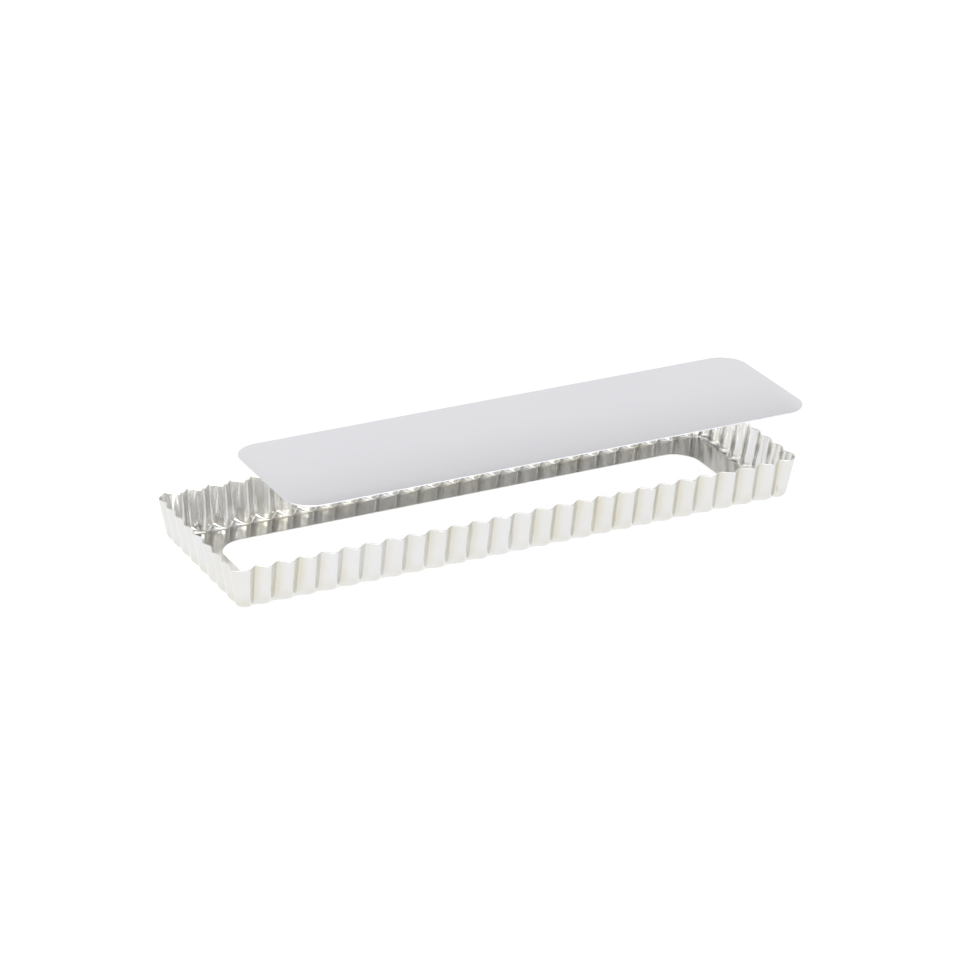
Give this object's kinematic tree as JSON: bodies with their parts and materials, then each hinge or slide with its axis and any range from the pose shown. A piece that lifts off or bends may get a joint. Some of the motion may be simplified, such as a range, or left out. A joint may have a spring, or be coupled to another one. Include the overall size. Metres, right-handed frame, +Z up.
{
  "type": "tart pan",
  "caption": "Long rectangular fluted tart pan in tin-plated steel, with a loose flat base shown lifted out of its fluted ring.",
  "frame": {"origin": "on the table, at the centre of the footprint that the ring and the lifted base plate make together", "axes": "+X along the pan's length, +Y across it, +Z up out of the pan"},
  "size_m": [0.356, 0.1124, 0.0554],
  "materials": {
    "ring_tinplate": "bright tin plate, pressed, with soft reflections and warm grey tones inside",
    "plate_tinplate": "satin tin plate, very even, cool light grey"
  },
  "bodies": {
    "ring": {"fluted_ring": "ring_tinplate"},
    "plate": {"base_plate": "plate_tinplate"}
  },
  "joints": [
    {"name": "plate_lift", "type": "slide", "parent": "ring", "child": "plate", "axis": [0.3709, -0.199, 0.9071], "range_m": [-0.05931, 0]}
  ]
}
